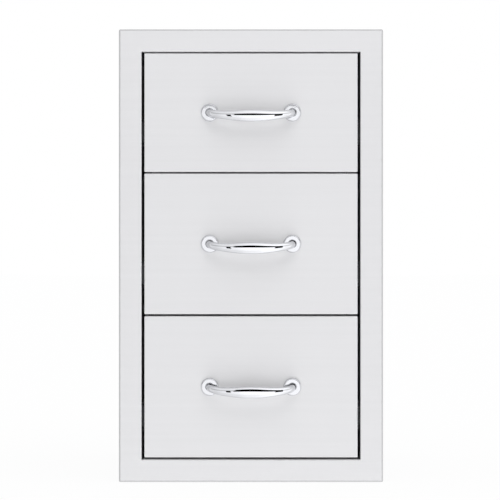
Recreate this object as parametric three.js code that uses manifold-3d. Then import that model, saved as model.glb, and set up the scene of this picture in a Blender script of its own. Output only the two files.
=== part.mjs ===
// Built-in stainless steel drawer unit for an outdoor kitchen: a picture-frame face, three flush
// fronts with bow handles, and a sheet cabinet with three boxes on full-extension slides.
// Millimetres. +Z is up, the fronts face -Y, and the origin is the bottom centre of the whole unit.
import * as THREE from 'three';
import { mergeVertices } from 'three/addons/utils/BufferGeometryUtils.js';
import Module from 'manifold-3d';

const wasm = await Module();
wasm.setup();

// Clearances
const seatGap = 0.3;
const runningGap = 0.4;
const cutOverrun = 1;

// Drawer fronts, and the dark gaps round them
const frontWidth = 349;
const topFrontHeight = 194;
const middleFrontHeight = 230;
const bottomFrontHeight = 231;
const gapBesideFronts = 3.9;
const gapAboveTopFront = 2.2;
const gapBelowTopFront = 2.4;
const gapBelowMiddleFront = 3;
const gapBelowBottomFront = 3.2;
const frontThickness = 19;
const frontSetback = 0.5;
const frontSheet = 1.2;
const linerSheet = 1;
const linerFlange = 12;
const accessHoleRadius = 7;

// Face frame, folded from one sheet
const sideBorder = 37.5;
const topBorder = 37;
const bottomBorder = 37;
const frameDepth = 19;
const frameSheet = 1.2;
const rearLipWidth = 10;
const innerReturnDepth = 22;

// Cabinet
const cabinetSheet = 1.2;
const weldFlange = 12;
const flangeSetback = 3;
const sideRearFlange = 12;
const backFlange = 14;
const rearSpace = 59.5;
const fixingHoleRadius = 3;
const fixingHoleSetback = 20;
const fixingHoleEdge = 28;

// Slides
const slideLength = 457.2;
const slideHeight = 45;
const slideWidth = 12.7;
const slideSheet = 1.2;
const slideSetback = 1;
const ballRoom = 4;
const ballLip = 2.6;
const webClearance = 1.1;
const stopLength = 8;

// Drawer boxes
const boxSheet = 1;
const boxRise = 14;
const boxHeadroom = 30;
const slideRise = 52;
const rimWidth = 7;
const boxBackInset = 12;

// Handles
const handleCentres = 135;
const handleReach = 36;
const handleDroop = 7;
const footRadius = 6.1;
const footStraight = 5;
const bowHalfHeight = 9.4;
const bowHalfThickness = 4.9;
const rosetteRadius = 14.6;
const rosetteHeight = 5;
const rosetteEdge = 1.2;
const screwRadius = 2;
const screwGrip = 10;
const screwHeadRadius = 4.2;
const screwHeadHeight = 2.6;

// Counts and unitless shape values
const bowExponent = 2.7;
const droopExponent = 1.5;
const bowSteps = 32;
const bowSides = 16;
const rosetteSides = 28;
const domeSteps = 5;
const screwSides = 16;
const holeSteps = 6;

// Planes across the unit, measured from its middle
const openingHalf = frontWidth / 2 + gapBesideFronts;
const frameHalf = openingHalf + sideBorder;
const sideInner = openingHalf + frameSheet + seatGap;
const sideOuter = sideInner + cabinetSheet;
const slideOuter = sideInner - seatGap;
const slideInner = slideOuter - slideWidth;
const boxHalf = slideInner - seatGap;

// Levels, measured from the bottom edge of the face frame
const openingBottom = bottomBorder;
const bottomFrontBase = openingBottom + gapBelowBottomFront;
const middleFrontBase = bottomFrontBase + bottomFrontHeight + gapBelowMiddleFront;
const topFrontBase = middleFrontBase + middleFrontHeight + gapBelowTopFront;
const openingTop = topFrontBase + topFrontHeight + gapAboveTopFront;
const frameHeight = openingTop + topBorder;
const floorTop = openingBottom - frameSheet - seatGap;
const floorBottom = floorTop - cabinetSheet;
const roofBottom = openingTop + frameSheet + seatGap;
const roofTop = roofBottom + cabinetSheet;

// Depths, measured back from the face of the wall that the frame bears on
const frameFront = -frameDepth;
const frameFaceBack = frameFront + frameSheet;
const returnRear = frameFront + innerReturnDepth;
const frontFace = frameFront + frontSetback;
const frontRear = frontFace + frontThickness;
const boxFront = frontRear + seatGap;
const slideFront = Math.max(returnRear, boxFront) + slideSetback;
const slideRear = slideFront + slideLength;
const memberRear = slideRear - stopLength - seatGap;
const cabinetRear = slideRear + rearSpace;
const backPlateRear = cabinetRear - cabinetSheet - seatGap;
const backPlateFront = backPlateRear - cabinetSheet;
const handleFront = frontFace - seatGap - handleReach - bowHalfThickness;
const middleDepth = (cabinetRear + handleFront) / 2;

const drawers = [
  { name: 'top', base: topFrontBase, height: topFrontHeight },
  { name: 'middle', base: middleFrontBase, height: middleFrontHeight },
  { name: 'bottom', base: bottomFrontBase, height: bottomFrontHeight },
];
const sides = [
  { name: 'left', sign: -1 },
  { name: 'right', sign: 1 },
];

function finish(color, roughness, metalness) {
  return new THREE.MeshStandardMaterial({ color, roughness, metalness });
}

const brushedSteel = () => finish(0xd9dadd, 0.38, 1);
const millSteel = () => finish(0xb9bbbe, 0.5, 1);
const zincPlate = () => finish(0xa9adb2, 0.45, 1);
const polishedChrome = () => finish(0xeef0f2, 0.08, 1);
const blackRubber = () => finish(0x1c1c1d, 0.85, 0);

// Turns a closed geometry into a solid that can be joined and cut
function solidOf(geometry) {
  const bare = geometry.clone();
  bare.deleteAttribute('normal');
  bare.deleteAttribute('uv');
  const merged = mergeVertices(bare);
  return new wasm.Manifold(new wasm.Mesh({
    numProp: 3,
    vertProperties: merged.attributes.position.array,
    triVerts: new Uint32Array(merged.index.array),
  }));
}

function geometryOf(solid) {
  const { vertProperties, triVerts } = solid.getMesh();
  const geometry = new THREE.BufferGeometry();
  geometry.setAttribute('position', new THREE.BufferAttribute(vertProperties, 3));
  geometry.setIndex(new THREE.BufferAttribute(triVerts, 1));
  geometry.computeVertexNormals();
  return geometry;
}

function joined(geometries) {
  return geometries.map(solidOf).reduce((whole, next) => whole.add(next));
}

// A box given by its low and high values along X, Y and Z
function block([lowX, highX], [lowY, highY], [lowZ, highZ]) {
  const box = new THREE.BoxGeometry(highX - lowX, highY - lowY, highZ - lowZ);
  return box.translate((lowX + highX) / 2, (lowY + highY) / 2, (lowZ + highZ) / 2);
}

// The same box on either side of the middle: sizes are given outwards from the middle
function sideBlock(sign, [near, far], spanY, spanZ) {
  return block(sign > 0 ? [near, far] : [-far, -near], spanY, spanZ);
}

function rectangle(half, low, high) {
  return [
    new THREE.Vector2(-half, low),
    new THREE.Vector2(half, low),
    new THREE.Vector2(half, high),
    new THREE.Vector2(-half, high),
  ];
}

// Extrudes an upright outline in X and Z from one depth back to another
function extrudeBack(shape, nearY, farY) {
  const options = { depth: farY - nearY, bevelEnabled: false, curveSegments: holeSteps };
  const geometry = new THREE.ExtrudeGeometry(shape, options);
  return geometry.rotateX(Math.PI / 2).translate(0, farY, 0);
}

// A rectangular ring: an outline around the opening, grown outwards, less the same outline less grown
function ring(grownOut, grownIn, spanY) {
  const shape = new THREE.Shape(rectangle(grownOut.half, grownOut.low, grownOut.high));
  shape.holes.push(new THREE.Path(rectangle(grownIn.half, grownIn.low, grownIn.high)));
  return extrudeBack(shape, ...spanY);
}

function outline(half, low, high) {
  return { half, low, high };
}

function shrunk(box, by) {
  return outline(box.half - by, box.low + by, box.high - by);
}

// A round bar along Y, used to cut holes
function drill(x, [nearY, farY], z, radius) {
  const length = farY - nearY + 2 * cutOverrun;
  const bar = new THREE.CylinderGeometry(radius, radius, length, 4 * holeSteps);
  return solidOf(bar.translate(x, (nearY + farY) / 2, z));
}

function named(name, geometry, material) {
  const mesh = new THREE.Mesh(geometry, material);
  mesh.name = name;
  return mesh;
}

function makeFaceFrame() {
  const outer = outline(frameHalf, 0, frameHeight);
  const opening = outline(openingHalf, openingBottom, openingTop);
  const frame = joined([
    ring(outer, opening, [frameFront, frameFaceBack]),
    ring(outer, shrunk(outer, frameSheet), [frameFront, 0]),
    ring(outer, shrunk(outer, rearLipWidth), [-frameSheet, 0]),
    ring(shrunk(opening, -frameSheet), opening, [frameFront, returnRear]),
  ]);
  return named('face_frame', geometryOf(frame), brushedSteel());
}

// Side panel with a flange folded in at the rear and fixing holes behind the face frame
function makeCabinetSide({ name, sign }) {
  const front = frameFaceBack + seatGap;
  let panel = joined([
    sideBlock(sign, [sideInner, sideOuter], [front, cabinetRear], [floorBottom, roofTop]),
    sideBlock(
      sign,
      [sideOuter - sideRearFlange, sideOuter],
      [cabinetRear - cabinetSheet, cabinetRear],
      [floorBottom, roofTop],
    ),
  ]);
  for (const height of fixingHeights()) {
    const bar = new THREE.CylinderGeometry(
      fixingHoleRadius,
      fixingHoleRadius,
      cabinetSheet + 2 * cutOverrun,
      4 * holeSteps,
    );
    bar.rotateZ(Math.PI / 2);
    bar.translate(sign * (sideInner + sideOuter) / 2, returnRear + fixingHoleSetback, height);
    panel = panel.subtract(solidOf(bar));
  }
  return named(`cabinet_${name}_side`, geometryOf(panel), millSteel());
}

function fixingHeights() {
  return [
    floorTop + fixingHoleEdge,
    middleFrontBase,
    topFrontBase,
    roofBottom - fixingHoleEdge,
  ];
}

// Roof or floor: a flat sheet with weld flanges folded towards the inside of the cabinet
function makeCabinetDeck(name, [low, high], inward) {
  const half = sideInner - seatGap;
  const flangeSpan = inward > 0 ? [low, high + weldFlange] : [low - weldFlange, high];
  const flangeFront = returnRear + flangeSetback;
  const flangeRear = backPlateFront - backFlange - flangeSetback;
  const parts = [block([-half, half], [frameFaceBack + seatGap, backPlateRear], [low, high])];
  for (const { sign } of sides) {
    parts.push(sideBlock(sign, [half - cabinetSheet, half], [flangeFront, flangeRear], flangeSpan));
  }
  return named(name, geometryOf(joined(parts)), millSteel());
}

// Back panel: a shallow pan whose flanges point forwards, inside the sides, roof and floor
function makeCabinetBack() {
  const outer = outline(sideInner - seatGap, floorTop + seatGap, roofBottom - seatGap);
  const plate = new THREE.Shape(rectangle(outer.half, outer.low, outer.high));
  const pan = joined([
    extrudeBack(plate, backPlateFront, backPlateRear),
    ring(outer, shrunk(outer, cabinetSheet), [backPlateFront - backFlange, backPlateRear]),
  ]);
  return named('cabinet_back', geometryOf(pan), millSteel());
}

// One slide member: a web, two flanges and, where there is a lip, tips turned in to hold the balls.
// Its places are measured in from the cabinet wall and up from the middle of the slide.
function makeMember(sign, { web, tip, halfHeight, lip }, level, spanY) {
  const bar = (a, b, low, high) => sideBlock(
    sign,
    [slideOuter - Math.max(a, b), slideOuter - Math.min(a, b)],
    spanY,
    [level + low, level + high],
  );
  const sheet = Math.sign(tip - web) * slideSheet;
  const inside = halfHeight - slideSheet;
  const parts = [
    bar(web, web + sheet, -halfHeight, halfHeight),
    bar(web, tip, inside, halfHeight),
    bar(web, tip, -halfHeight, -inside),
  ];
  if (lip > 0) {
    parts.push(bar(tip - sheet, tip, inside - lip, halfHeight));
    parts.push(bar(tip - sheet, tip, -halfHeight, lip - inside));
  }
  return geometryOf(joined(parts));
}

const outerMember = {
  web: 0,
  tip: slideWidth - slideSheet - webClearance,
  halfHeight: slideHeight / 2,
  lip: ballLip,
};
const middleMember = {
  web: slideSheet + runningGap,
  tip: outerMember.tip,
  halfHeight: outerMember.halfHeight - slideSheet - ballRoom,
  lip: ballLip,
};
const innerMember = {
  web: slideWidth,
  tip: middleMember.web + slideSheet + runningGap,
  halfHeight: middleMember.halfHeight - slideSheet - ballRoom,
  lip: 0,
};

function slideLevel({ base }) {
  return base + boxRise + slideRise;
}

function makeSlide(drawer, { name: side, sign }) {
  const level = slideLevel(drawer);
  const outer = makeMember(sign, outerMember, level, [slideFront, slideRear]);
  const middle = makeMember(sign, middleMember, level, [slideFront, memberRear]);
  const inner = makeMember(sign, innerMember, level, [slideFront, memberRear]);
  const stopHalf = outerMember.halfHeight - slideSheet - seatGap;
  const stopNear = slideOuter - outerMember.tip + slideSheet + seatGap;
  const stopFar = slideOuter - slideSheet - seatGap;
  const stop = sideBlock(
    sign,
    [stopNear, stopFar],
    [slideRear - stopLength, slideRear],
    [level - stopHalf, level + stopHalf],
  );
  const prefix = `${drawer.name}_${side}_slide`;
  return [
    named(`${prefix}_outer`, outer, zincPlate()),
    named(`${prefix}_middle`, middle, zincPlate()),
    named(`${prefix}_inner`, inner, zincPlate()),
    named(`${prefix}_stop`, stop, blackRubber()),
  ];
}

function handleFeet({ base, height }) {
  const level = base + height / 2;
  return sides.map(({ name, sign }) => ({ name, x: sign * handleCentres / 2, z: level }));
}

// Skin of the front: a face with four returns folded back, and a hole for each handle screw
function makeFrontSkin(drawer) {
  const outer = outline(frontWidth / 2, drawer.base, drawer.base + drawer.height);
  const face = new THREE.Shape(rectangle(outer.half, outer.low, outer.high));
  let skin = joined([
    extrudeBack(face, frontFace, frontFace + frontSheet),
    ring(outer, shrunk(outer, frontSheet), [frontFace, frontRear]),
  ]);
  for (const { x, z } of handleFeet(drawer)) {
    skin = skin.subtract(drill(x, [frontFace, frontFace + frontSheet], z, screwRadius + seatGap));
  }
  return named(`${drawer.name}_front_skin`, geometryOf(skin), brushedSteel());
}

// Liner: a pan inside the skin that closes the rear of the front, with holes for a screwdriver
function makeFrontLiner(drawer) {
  const skinOuter = outline(frontWidth / 2, drawer.base, drawer.base + drawer.height);
  const outer = shrunk(skinOuter, frontSheet + seatGap);
  const plate = new THREE.Shape(rectangle(outer.half, outer.low, outer.high));
  const plateFront = frontRear - linerSheet;
  let liner = joined([
    extrudeBack(plate, plateFront, frontRear),
    ring(outer, shrunk(outer, linerSheet), [plateFront - linerFlange, frontRear]),
  ]);
  for (const { x, z } of handleFeet(drawer)) {
    liner = liner.subtract(drill(x, [plateFront, frontRear], z, accessHoleRadius));
  }
  return named(`${drawer.name}_front_liner`, geometryOf(liner), millSteel());
}

// Tub of the drawer box: floor, front wall and two sides whose rims are folded outwards
function makeBoxTub(drawer) {
  const low = drawer.base + boxRise;
  const high = drawer.base + drawer.height - boxHeadroom;
  const spanY = [boxFront, memberRear];
  const parts = [
    block([-boxHalf, boxHalf], spanY, [low, low + boxSheet]),
    block([-boxHalf, boxHalf], [boxFront, boxFront + boxSheet], [low, high]),
  ];
  for (const { sign } of sides) {
    parts.push(sideBlock(sign, [boxHalf - boxSheet, boxHalf], spanY, [low, high]));
    parts.push(sideBlock(sign, [boxHalf - boxSheet, boxHalf + rimWidth], spanY, [high - boxSheet, high]));
  }
  return named(`${drawer.name}_box_tub`, geometryOf(joined(parts)), millSteel());
}

// Back of the drawer box: a plate between the sides with flanges folded rearwards all round
function makeBoxBack(drawer) {
  const outer = outline(
    boxHalf - boxSheet - seatGap,
    drawer.base + boxRise + boxSheet + seatGap,
    drawer.base + drawer.height - boxHeadroom,
  );
  const plate = new THREE.Shape(rectangle(outer.half, outer.low, outer.high));
  const plateFront = memberRear - boxBackInset - boxSheet;
  const back = joined([
    extrudeBack(plate, plateFront, plateFront + boxSheet),
    ring(outer, shrunk(outer, boxSheet), [plateFront, memberRear]),
  ]);
  return named(`${drawer.name}_box_back`, geometryOf(back), millSteel());
}

// Centre line of the bow in plan: a superellipse that leaves each foot square to the front,
// and droops as it comes forward
class BowLine extends THREE.Curve {
  getPoint(t, target = new THREE.Vector3()) {
    const along = Math.cos(Math.PI * t);
    const out = Math.sin(Math.PI * t) ** (2 / bowExponent);
    return target.set(
      -Math.sign(along) * Math.abs(along) ** (2 / bowExponent) * handleCentres / 2,
      -footStraight - (handleReach - footStraight) * out,
      -handleDroop * out ** droopExponent,
    );
  }
}

function bowPath() {
  const path = new THREE.CurvePath();
  const foot = (sign, y) => new THREE.Vector3(sign * handleCentres / 2, y, 0);
  path.add(new THREE.LineCurve3(foot(-1, 0), foot(-1, -footStraight)));
  path.add(new BowLine());
  path.add(new THREE.LineCurve3(foot(1, -footStraight), foot(1, 0)));
  return path;
}

// Bends a unit cylinder along the bow line and swells it towards the middle of the handle
function makeBow() {
  const bow = new THREE.CylinderGeometry(1, 1, 1, bowSides, bowSteps);
  const path = bowPath();
  const up = new THREE.Vector3();
  const side = new THREE.Vector3();
  const unit = new THREE.Vector3();
  const position = bow.attributes.position;
  for (let i = 0; i < position.count; i += 1) {
    unit.fromBufferAttribute(position, i);
    const share = Math.min(1, Math.max(0, unit.y + 1 / 2));
    const centre = path.getPointAt(share);
    const tangent = path.getTangentAt(share);
    up.set(0, 0, 1).addScaledVector(tangent, -tangent.z).normalize();
    side.crossVectors(tangent, up);
    const swell = Math.cos((Math.PI / 2) * Math.abs(centre.x) / (handleCentres / 2)) ** 2;
    const thick = footRadius + (bowHalfThickness - footRadius) * swell;
    const tall = footRadius + (bowHalfHeight - footRadius) * swell;
    centre.addScaledVector(side, unit.x * thick).addScaledVector(up, unit.z * tall);
    position.setXYZ(i, centre.x, centre.y, centre.z);
  }
  return bow;
}

function makeHandle(drawer) {
  const feet = handleFeet(drawer);
  const footFace = frontFace - seatGap;
  let handle = solidOf(makeBow().translate(0, footFace, feet[0].z));
  for (const { x, z } of feet) {
    handle = handle.subtract(drill(x, [footFace - screwGrip, footFace], z, screwRadius + seatGap));
  }
  return named(`${drawer.name}_handle`, geometryOf(handle), polishedChrome());
}

// Turns an outline of radius and height about the axis that points out of the front
function turned(points, segments) {
  const outlinePoints = points.map(([radius, height]) => new THREE.Vector2(radius, height));
  return new THREE.LatheGeometry(outlinePoints, segments).rotateX(Math.PI);
}

function makeRosette(drawer, { name, x, z }) {
  const bore = footRadius + seatGap;
  const points = [[bore, 0], [rosetteRadius, 0]];
  for (let i = 0; i <= domeSteps; i += 1) {
    const angle = (Math.PI / 2) * i / domeSteps;
    points.push([
      bore + (rosetteRadius - bore) * Math.cos(angle),
      rosetteEdge + (rosetteHeight - rosetteEdge) * Math.sin(angle),
    ]);
  }
  points.push([bore, 0]);
  const rosette = turned(points, rosetteSides).translate(x, frontFace - seatGap, z);
  return named(`${drawer.name}_${name}_rosette`, rosette, polishedChrome());
}

function makeHandleScrew(drawer, { name, x, z }) {
  const tip = seatGap + frontSheet + screwGrip;
  const points = [
    [0, -screwHeadHeight],
    [screwHeadRadius, -screwHeadHeight],
    [screwHeadRadius, 0],
    [screwRadius, 0],
    [screwRadius, tip],
    [0, tip],
  ];
  const screw = turned(points, screwSides).translate(x, frontFace + frontSheet + seatGap, z);
  return named(`${drawer.name}_${name}_handle_screw`, screw, zincPlate());
}

function makeDrawer(drawer) {
  const feet = handleFeet(drawer);
  return [
    makeFrontSkin(drawer),
    makeFrontLiner(drawer),
    makeBoxTub(drawer),
    makeBoxBack(drawer),
    makeHandle(drawer),
    ...feet.map((foot) => makeRosette(drawer, foot)),
    ...feet.map((foot) => makeHandleScrew(drawer, foot)),
    ...sides.flatMap((side) => makeSlide(drawer, side)),
  ];
}

const unit = new THREE.Group();
unit.position.set(0, -middleDepth, 0);
unit.add(makeFaceFrame());
unit.add(...sides.map(makeCabinetSide));
unit.add(makeCabinetDeck('cabinet_top', [roofBottom, roofTop], -1));
unit.add(makeCabinetDeck('cabinet_bottom', [floorBottom, floorTop], 1));
unit.add(makeCabinetBack());
for (const drawer of drawers) {
  unit.add(...makeDrawer(drawer));
}

export default unit;
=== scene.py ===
"""Built-in stainless steel drawer unit for an outdoor kitchen, dressed around its packed frame."""

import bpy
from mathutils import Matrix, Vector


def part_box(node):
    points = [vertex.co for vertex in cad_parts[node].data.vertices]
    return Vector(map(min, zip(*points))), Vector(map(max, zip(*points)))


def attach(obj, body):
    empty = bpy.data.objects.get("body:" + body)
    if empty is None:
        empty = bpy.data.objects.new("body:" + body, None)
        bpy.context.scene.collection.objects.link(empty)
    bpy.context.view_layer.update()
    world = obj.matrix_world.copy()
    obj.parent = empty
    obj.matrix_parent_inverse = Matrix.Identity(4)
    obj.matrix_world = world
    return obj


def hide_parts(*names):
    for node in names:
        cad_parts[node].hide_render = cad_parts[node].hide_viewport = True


bl_info = {
    "name": "Outdoor kitchen drawer unit",
    "version": (1, 0, 0),
    "blender": (4, 5, 0),
    "location": "View3D > Sidebar > Drawer unit",
    "description": "Folded sheet, bow handles and slides of a triple drawer unit, with their finishes",
    "category": "Object",
}

import math

import bmesh
import bpy
from bpy.props import FloatProperty, FloatVectorProperty, IntProperty, PointerProperty
from mathutils import Matrix, Vector

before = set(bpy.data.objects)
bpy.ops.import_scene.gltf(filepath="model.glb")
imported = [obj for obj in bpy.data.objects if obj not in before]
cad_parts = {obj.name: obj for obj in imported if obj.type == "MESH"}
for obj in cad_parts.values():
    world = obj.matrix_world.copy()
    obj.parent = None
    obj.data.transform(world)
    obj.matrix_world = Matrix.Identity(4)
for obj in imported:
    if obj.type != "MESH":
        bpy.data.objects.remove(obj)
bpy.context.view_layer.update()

DRAWERS = ("top", "middle", "bottom")
SIDES = {"left": -1, "right": 1}
MM = 0.001
SAME_POINT = MM / 1000
FOLD_ANGLE = math.radians(50)
PUNCH_REACH = 7 * MM
PUNCH_ACROSS = Vector((PUNCH_REACH, 0, 0))
PUNCH_BACK = Vector((0, PUNCH_REACH, 0))
OUTER_BEND_SHADE = "outer_bend_shade"
WHITE = (1, 1, 1, 1)
BLACK = (0, 0, 0, 1)

# The studio, in metres; the boards are seen from above
FLOOR_REACH = 30
CAMERA_DISTANCE = 3.575
CAMERA_HEIGHT = 0.3792
CAMERA_SIDESTEP = -0.0016
FOCAL_MM = 157.6
SENSOR_MM = 36
BOARD_FOOT = -0.25
BOARD_TOP = 1.07
BOARD_THICKNESS = 0.04
OVERHEAD_BOARD = ((-0.21, -1.5), (1.21, -1.5), (4.2, -6.3), (-1.06, -6.3))
LEFT_BOARD = ((-1.0, -2.72), (-0.62, -2.7))
RIGHT_BOARD = ((0.78, -2.31), (1.8, -2.29))

# Steps of the studio's light: along an axis of its direction, from here to there, it changes by a share
LIGHT_STEPS = (
    ("X", -0.12, 0.12, 1.29),  # straight ahead it grows from left to right
    ("X", -0.1, -0.4, 0.94),
    ("X", 0.12, 0.4, 1.02),
    ("X", -0.45, -0.8, 0.82),  # it falls off at both sides
    ("X", 0.45, 0.8, 0.8),
    ("Z", 0.14, 0.1, 1.3),  # it is stronger from the horizon down
    ("Z", 0.3, 0.36, 0.62),  # a dim band lies above the boards
    ("Z", 0.46, 0.52, 1.9),
    ("Z", 0.85, 1.0, 0.7),  # and it falls off overhead and far below
    ("Z", -0.3, -0.6, 0.85),
)
LIGHT_COLOUR = (0.99, 0.99, 1, 1)


# Settings

def linear(code):
    """The linear RGB of an sRGB hex colour."""
    channels = [int(code[i:i + 2], 16) / 255 for i in (0, 2, 4)]
    return tuple(c / 12.92 if c <= 0.04045 else ((c + 0.055) / 1.055) ** 2.4 for c in channels)


def size(name, description, millimetres):
    """A length in the panel, given in millimetres."""
    return FloatProperty(
        name=name, description=description, default=millimetres * MM, min=0.0, precision=5, unit="LENGTH"
    )


def colour(name, description, code):
    """A colour in the panel, given as sRGB hex."""
    return FloatVectorProperty(
        name=name, description=description, default=linear(code), subtype="COLOR", size=3, min=0.0, max=1.0
    )


class SheetSizes(bpy.types.PropertyGroup):
    """Thicknesses, bends and holes of the folded pieces"""

    frame_sheet: size("Frame sheet", "Thickness of the face frame", 1.2)
    frame_bend: size("Frame bend", "Outer radius of the bends round the face frame", 2.8)
    opening_bend: size("Opening bend", "Outer radius of the bends round the opening", 1.8)
    frame_depth: size("Frame depth", "Depth of the face frame in front of the wall", 19)
    lip: size("Rear lip", "Width of the lip that bears on the wall", 10)
    side_border: size("Side border", "Width of the face frame's stiles", 37.5)
    end_border: size("End border", "Height of the face frame's rails", 37)
    front_sheet: size("Front sheet", "Thickness of the drawer fronts", 1.2)
    front_bend: size("Front bend", "Outer radius of the bends round a drawer front", 1.6)
    box_sheet: size("Box sheet", "Thickness of boxes and liners", 1)
    box_bend: size("Box bend", "Outer radius of the bends of boxes and liners", 2.2)
    rim: size("Rim", "Width of the rims of the box sides", 7)
    cabinet_sheet: size("Cabinet sheet", "Thickness of the cabinet panels", 1.2)
    cabinet_bend: size("Cabinet bend", "Outer radius of the bends of cabinet panels", 2.4)
    weld_flange: size("Weld flange", "Width of the flanges of roof and floor", 12)
    notch_gap: size("Notch gap", "Clearance of the corner notches", 3)
    fixing_hole: size("Fixing hole", "Radius of the holes for the screws into the island", 3)
    fixing_setback: size("Fixing setback", "How far the fixing holes are behind the frame", 20)
    fixing_edge: size("Fixing edge", "How far the end holes are from roof and floor", 28)
    access_hole: size("Access hole", "Radius of the liner's holes for a screwdriver", 7)
    weld: size("Spot weld", "Radius of a spot weld's mark", 3.6)
    weld_depth: size("Spot weld depth", "Height of the rim round the mark", 0.3)
    weld_pitch: size("Spot weld pitch", "Distance between spot welds", 62)


class HandleSizes(bpy.types.PropertyGroup):
    """The bow handle, its rosettes and its screws"""

    centres: size("Centres", "Distance between the feet", 135)
    reach: size("Reach", "How far the bow's centre line stands off", 36)
    droop: size("Droop", "How far the middle of the bow hangs below its feet", 7)
    straight: size("Straight", "Straight length of each foot", 5)
    foot: size("Foot", "Radius of the round feet", 6.1)
    half_height: size("Half height", "Half the bow's height in the middle", 9.4)
    half_thickness: size("Half thickness", "Half the bow's thickness in the middle", 4.9)
    bow_exponent: FloatProperty(name="Bow exponent", description="Squareness of the bow in plan", default=2.7)
    droop_exponent: FloatProperty(name="Droop exponent", description="How late the droop starts", default=1.5)
    stations: IntProperty(name="Stations", description="Rings along the bow", default=132, min=8)
    segments: IntProperty(name="Segments", description="Points round each ring", default=48, min=8)
    rosette: size("Rosette", "Radius of a rosette", 14.6)
    rosette_height: size("Rosette height", "Height of a rosette's bead", 5)
    rosette_rim: size("Rosette rim", "Height of a rosette's plain outer edge", 1.2)
    rosette_round: size("Rosette round", "Width of the round edge of a rosette", 2.3)
    rosette_dip: size("Rosette dip", "Radius of the rosette's edge round the foot", 0.8)
    collar_gap: size("Collar gap", "Gap between a foot and its rosette", 0.3)
    screw: size("Screw", "Radius of a handle screw", 2)
    screw_head: size("Screw head", "Radius of a handle screw's head", 4.2)
    screw_head_height: size("Screw head height", "Height of a handle screw's head", 2.6)
    screw_grip: size("Screw grip", "How deep a handle screw goes into a foot", 10)


class SlideSizes(bpy.types.PropertyGroup):
    """The telescopic slides and the rivets that hold them"""

    sheet: size("Slide sheet", "Thickness of the slide members", 1.2)
    bend: size("Slide bend", "Outer radius of the raceways", 2.6)
    lip: size("Ball lip", "Width of the lips that hold the balls", 2.6)
    first_rivet: size("First rivet", "Distance of the first rivet from the front end", 37)
    rivet_pitch: size("Rivet pitch", "Distance between rivets along a slide", 128)
    rivet_head: size("Rivet head", "Radius of a rivet's head", 4)
    rivet_height: size("Rivet height", "Height of a rivet's head", 1)
    slot: size("Slot", "Radius of the slots punched in the webs", 2.3)
    buffer_edge: size("Buffer edge", "Radius of the rubber stops' edges", 1)


class FinishColours(bpy.types.PropertyGroup):
    """Base colours of the finishes"""

    brushed: colour("Brushed steel", "Frame and fronts", "e8e8e9")
    mill: colour("Mill steel", "Cabinet, boxes and liners", "c4c6c8")
    tint: colour("Heat tint", "Marks of the spot welds", "928c84")
    zinc: colour("Zinc plate", "Slides and screws", "c3c8cc")
    chrome: colour("Chrome", "Buffed bows", "d9dadd")
    disc: colour("Disc plating", "Rosettes", "cecfd2")
    rubber: colour("Rubber", "Slide stops", "232324")
    floor: colour("Floor", "Studio floor", "f2f2f2")


# Nodes

def add(tree, kind, inputs=None, **settings):
    """Adds a node with its settings; an input is a value, or the socket that feeds it."""
    node = tree.nodes.new(kind)
    for name, value in settings.items():
        setattr(node, name, value)
    for name, value in (inputs or {}).items():
        if isinstance(value, bpy.types.NodeSocket):
            tree.links.new(value, node.inputs[name])
        else:
            node.inputs[name].default_value = value
    return node


def maths(tree, operation, first, second=0.0):
    """One sum of two values or sockets."""
    return add(tree, "ShaderNodeMath", {0: first, 1: second}, operation=operation).outputs[0]


def split(tree, vector):
    """The three parts of a vector."""
    return add(tree, "ShaderNodeSeparateXYZ", {0: vector}).outputs


def grain(tree):
    """Millimetres along and across the sheet's rolling direction, which is level everywhere."""
    place = add(tree, "ShaderNodeTexCoord").outputs["Object"]
    scaled = add(tree, "ShaderNodeVectorMath", {0: place, "Scale": 1 / MM}, operation="SCALE").outputs[0]
    parts = split(tree, scaled)
    facing = add(tree, "ShaderNodeNewGeometry").outputs["Normal"]
    upright = maths(tree, "ABSOLUTE", split(tree, facing)["Z"])
    half_upright = 0.7
    level = maths(tree, "GREATER_THAN", upright, half_upright)
    along = maths(tree, "ADD", parts["X"], parts["Y"])
    across = add(tree, "ShaderNodeMix", {0: level, 2: parts["Z"], 3: parts["Y"]}).outputs[0]
    return along, across


def up_and_back(tree):
    """The way in which highlights spread, square to the grain: up and down, or to and fro on level faces."""
    return add(tree, "ShaderNodeCombineXYZ", {"X": 0.0, "Y": 0.2, "Z": 1.0}).outputs[0]


def streaks(tree, way, length, width, detail=3.0):
    """Noise drawn out along the grain, with its length and width in millimetres."""
    along, across = way
    drawn = {"X": maths(tree, "DIVIDE", along, length), "Y": maths(tree, "DIVIDE", across, width)}
    place = add(tree, "ShaderNodeCombineXYZ", drawn).outputs[0]
    return add(tree, "ShaderNodeTexNoise", {"Vector": place, "Scale": 1.0, "Detail": detail}).outputs["Fac"]


def mapped(tree, value, start, end, low, high):
    """A value from low to high as another goes from start to end."""
    sockets = {"Value": value, "From Min": start, "From Max": end, "To Min": low, "To Max": high}
    return add(tree, "ShaderNodeMapRange", sockets).outputs[0]


def blended(tree, factor, colour, other, how="MIX"):
    """Goes from one colour to another, or to their product, as a factor goes from 0 to 1."""
    sockets = {0: factor, 6: colour, 7: other}
    return add(tree, "ShaderNodeMix", sockets, data_type="RGBA", blend_type=how).outputs[2]


def ranged(tree, factor, low, high):
    """A value from low to high as noise goes over its usual span."""
    least, most = 0.3, 0.7
    return mapped(tree, factor, least, most, low, high)


def tinted(tree, base, share, factor):
    """The base colour, a share darker to a share lighter."""
    darker = [c * (1 - share) for c in base] + [1]
    lighter = [min(1, c * (1 + share)) for c in base] + [1]
    return blended(tree, ranged(tree, factor, 0.0, 1.0), darker, lighter)


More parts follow.
